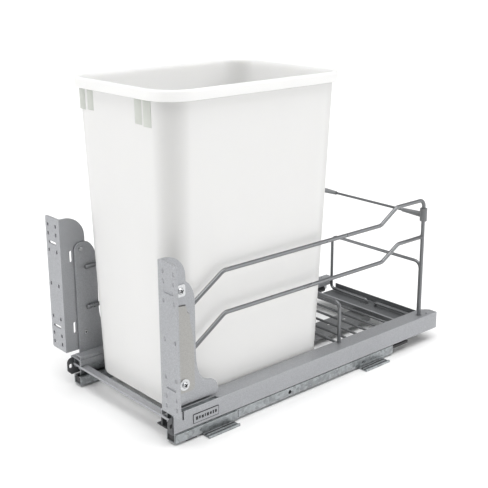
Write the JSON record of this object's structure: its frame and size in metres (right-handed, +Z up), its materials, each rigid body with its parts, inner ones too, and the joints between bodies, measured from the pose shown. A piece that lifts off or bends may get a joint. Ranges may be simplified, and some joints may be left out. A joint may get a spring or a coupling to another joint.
{
  "type": "pull-out waste container",
  "caption": "Pull-out waste container for a base cabinet: a white bin on a sliding steel frame with door brackets, side wires and a wire storage floor.",
  "frame": {"origin": "centre of the bounding box's bottom, on the cabinet floor", "axes": "+X right, -Y front (door side), +Y rear, +Z up"},
  "size_m": [0.323, 0.575, 0.4785],
  "materials": {
    "silver": "satin silver powder coat",
    "dark": "satin dark grey powder coat",
    "wire": "satin silver coating on steel wire",
    "zinc": "galvanised",
    "bright": "bright zinc plate",
    "bin": "smooth white polypropylene",
    "clip": "moulded grey nylon",
    "black": "moulded black plastic"
  },
  "bodies": {
    "cabinet_slides": {"cabinet_member_left": "zinc", "cabinet_member_right": "zinc", "front_floor_bracket_left": "zinc", "front_floor_bracket_right": "zinc", "rear_floor_bracket_left": "zinc", "rear_floor_bracket_right": "zinc", "rear_stop_left": "black", "rear_stop_right": "black", "damper_cylinder_left": "black", "damper_cylinder_right": "black", "damper_rod_left": "bright", "damper_rod_right": "bright", "inner_floor_bracket": "zinc"},
    "carriage": {"side_rail_left": "silver", "side_rail_right": "silver", "blank_label_left": "silver", "blank_label_right": "silver", "rail_ear_left": "silver", "rail_ear_right": "silver", "drawer_member_left": "zinc", "drawer_member_right": "zinc", "upright_left": "silver", "upright_right": "silver", "upper_side_wire_left": "wire", "upper_side_wire_right": "wire", "lower_side_wire_left": "wire", "lower_side_wire_right": "wire", "rod_clip_left": "clip", "rod_clip_right": "clip", "adjuster_plate_left": "silver", "adjuster_plate_right": "silver", "upper_bracket_screw_left": "bright", "upper_bracket_screw_right": "bright", "lower_bracket_screw_left": "bright", "lower_bracket_screw_right": "bright", "front_cross_rail": "silver", "rear_cross_channel": "dark", "centre_support": "dark", "front_bin_strap": "silver", "rear_bin_strap": "silver", "rear_hoop": "wire", "bin_fence": "wire", "wire_floor": "wire", "rear_rod": "wire"},
    "bin": {"bin": "bin"},
    "intermediate_left": {"intermediate_member_left": "zinc", "front_end_cap_left": "black"},
    "lower_cage_left": {"lower_ball_cage_left": "zinc"},
    "upper_cage_left": {"upper_ball_cage_left": "zinc"},
    "door_bracket_left": {"door_bracket_left": "silver"},
    "intermediate_right": {"intermediate_member_right": "zinc", "front_end_cap_right": "black"},
    "lower_cage_right": {"lower_ball_cage_right": "zinc"},
    "upper_cage_right": {"upper_ball_cage_right": "zinc"},
    "door_bracket_right": {"door_bracket_right": "silver"}
  },
  "joints": [
    {"name": "pull_out", "type": "slide", "parent": "cabinet_slides", "child": "carriage", "axis": [0, -1, 0], "range_m": [0, 0.44]},
    {"name": "intermediate_left_slide", "type": "slide", "parent": "cabinet_slides", "child": "intermediate_left", "axis": [0, -1, 0], "range_m": [0, 0.22]},
    {"name": "lower_cage_left_slide", "type": "slide", "parent": "cabinet_slides", "child": "lower_cage_left", "axis": [0, -1, 0], "range_m": [0, 0.11]},
    {"name": "upper_cage_left_slide", "type": "slide", "parent": "cabinet_slides", "child": "upper_cage_left", "axis": [0, -1, 0], "range_m": [0, 0.33]},
    {"name": "bracket_height_left", "type": "slide", "parent": "carriage", "child": "door_bracket_left", "axis": [0, 0, 1], "range_m": [-0.003, 0.003]},
    {"name": "intermediate_right_slide", "type": "slide", "parent": "cabinet_slides", "child": "intermediate_right", "axis": [0, -1, 0], "range_m": [0, 0.22]},
    {"name": "lower_cage_right_slide", "type": "slide", "parent": "cabinet_slides", "child": "lower_cage_right", "axis": [0, -1, 0], "range_m": [0, 0.11]},
    {"name": "upper_cage_right_slide", "type": "slide", "parent": "cabinet_slides", "child": "upper_cage_right", "axis": [0, -1, 0], "range_m": [0, 0.33]},
    {"name": "bracket_height_right", "type": "slide", "parent": "carriage", "child": "door_bracket_right", "axis": [0, 0, 1], "range_m": [-0.003, 0.003]},
    {"name": "bin_lift", "type": "slide", "parent": "carriage", "child": "bin", "axis": [0, 0, 1], "range_m": [0, 0.46]}
  ],
  "couplings": [
    {"joint": "intermediate_left_slide", "follows": "pull_out", "ratio": 0.5},
    {"joint": "lower_cage_left_slide", "follows": "pull_out", "ratio": 0.25},
    {"joint": "upper_cage_left_slide", "follows": "pull_out", "ratio": 0.75},
    {"joint": "intermediate_right_slide", "follows": "pull_out", "ratio": 0.5},
    {"joint": "lower_cage_right_slide", "follows": "pull_out", "ratio": 0.25},
    {"joint": "upper_cage_right_slide", "follows": "pull_out", "ratio": 0.75}
  ]
}
